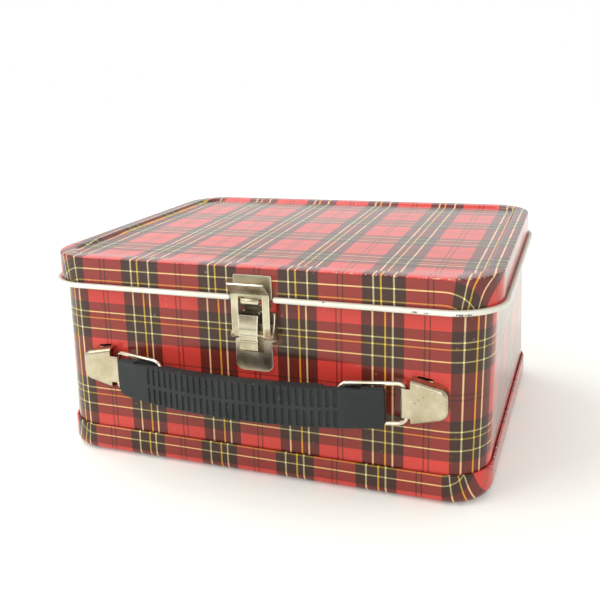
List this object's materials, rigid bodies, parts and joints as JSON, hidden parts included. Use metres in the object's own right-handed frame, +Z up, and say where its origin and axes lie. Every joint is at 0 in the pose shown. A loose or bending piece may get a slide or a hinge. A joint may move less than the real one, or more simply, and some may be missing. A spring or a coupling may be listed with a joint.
{
  "type": "tin lunch box",
  "caption": "Tartan-printed tin lunch box: a wrapped body on a drawn back pan, a hinged lid with rolled edge, a front snap-over latch and a folding carrying handle on wire loops.",
  "frame": {"origin": "middle of the base's underside, where the box lies on its back pan", "axes": "+X to the right along the front, -Y out of the latch side, +Z up through the lid"},
  "size_m": [0.2336, 0.2045, 0.1045],
  "materials": {
    "tartan_tin": "glossy printed tartan on tinplate, lightly scratched",
    "cream_edge": "cream lacquer with small chips",
    "nickel": "worn nickel plate with rust specks",
    "steel": "bright drawn wire",
    "black_plastic": "satin moulded plastic"
  },
  "bodies": {
    "box": {"back_pan": "tartan_tin", "body_band": "tartan_tin", "body_rim": "cream_edge", "latch_base": "nickel", "latch_tongue": "nickel", "latch_pin": "steel", "latch_rivets": "steel", "handle_clip_left": "nickel", "handle_clip_right": "nickel", "hinge_body_leaf_left": "nickel", "hinge_body_leaf_right": "nickel", "hinge_pin_left": "steel", "hinge_pin_right": "steel", "hinge_rivets_body": "steel"},
    "lid": {"lid_pan": "tartan_tin", "lid_bead": "cream_edge", "latch_strike": "nickel", "hinge_lid_leaf_left": "nickel", "hinge_lid_leaf_right": "nickel", "hinge_rivets_lid": "steel"},
    "hasp": {"latch_hasp": "nickel"},
    "grip": {"handle_grip": "black_plastic"},
    "bail_left": {"handle_bail_left": "steel"},
    "bail_right": {"handle_bail_right": "steel"}
  },
  "joints": [
    {"name": "lid_hinge", "type": "hinge", "parent": "box", "child": "lid", "pos_m": [0, 0.09346, 0.0886], "axis": [-1, 0, 0], "range_deg": [0, 105]},
    {"name": "hasp_hinge", "type": "hinge", "parent": "box", "child": "hasp", "pos_m": [0.0021, -0.09294, 0.0726], "axis": [1, 0, 0], "range_deg": [0, 100]},
    {"name": "grip_slide", "type": "slide", "parent": "box", "child": "grip", "axis": [0, -1, 0], "range_m": [0, 0.014]},
    {"name": "bail_left_hinge", "type": "hinge", "parent": "box", "child": "bail_left", "pos_m": [-0.0731, -0.0912, 0.0471], "axis": [0, 0, -1], "range_deg": [0, 30.9]},
    {"name": "bail_right_hinge", "type": "hinge", "parent": "box", "child": "bail_right", "pos_m": [0.0749, -0.0912, 0.0471], "axis": [0, 0, 1], "range_deg": [0, 30.9]}
  ],
  "couplings": [
    {"joint": "bail_left_hinge", "follows": "grip_slide", "rad_per_m": 38.5},
    {"joint": "bail_right_hinge", "follows": "grip_slide", "rad_per_m": 38.5}
  ]
}
